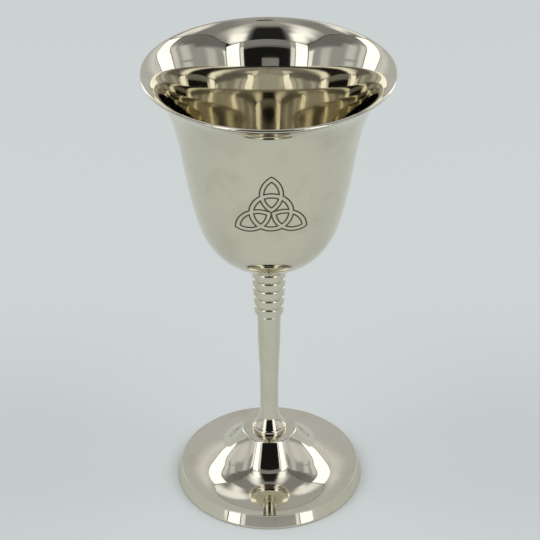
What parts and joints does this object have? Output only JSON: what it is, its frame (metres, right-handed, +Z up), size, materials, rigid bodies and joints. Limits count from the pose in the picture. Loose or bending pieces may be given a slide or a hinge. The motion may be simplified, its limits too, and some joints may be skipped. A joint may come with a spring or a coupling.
{
  "type": "goblet",
  "caption": "Stemmed goblet with a flared bell-shaped bowl, a ring-turned slender stem and a bell-shaped round foot with a turned-down edge.",
  "frame": {"origin": "middle of the foot's standing edge, on the surface that the goblet stands on", "axes": "+Z up along the goblet's axis; +Y points away from the side that carries the engraving, which faces -Y"},
  "size_m": [0.0706, 0.0706, 0.139],
  "materials": {
    "nickel_plate": "mirror-polished nickel plate over brass, warm silver in tone",
    "zinc_steel": "zinc-plated steel, satin"
  },
  "bodies": {
    "root": {"bowl": "nickel_plate", "bowl_boss": "nickel_plate", "stem": "nickel_plate", "base_collar": "nickel_plate", "foot": "nickel_plate", "flat_washer": "zinc_steel", "lock_washer": "zinc_steel", "foot_screw": "zinc_steel"}
  },
  "joints": []
}
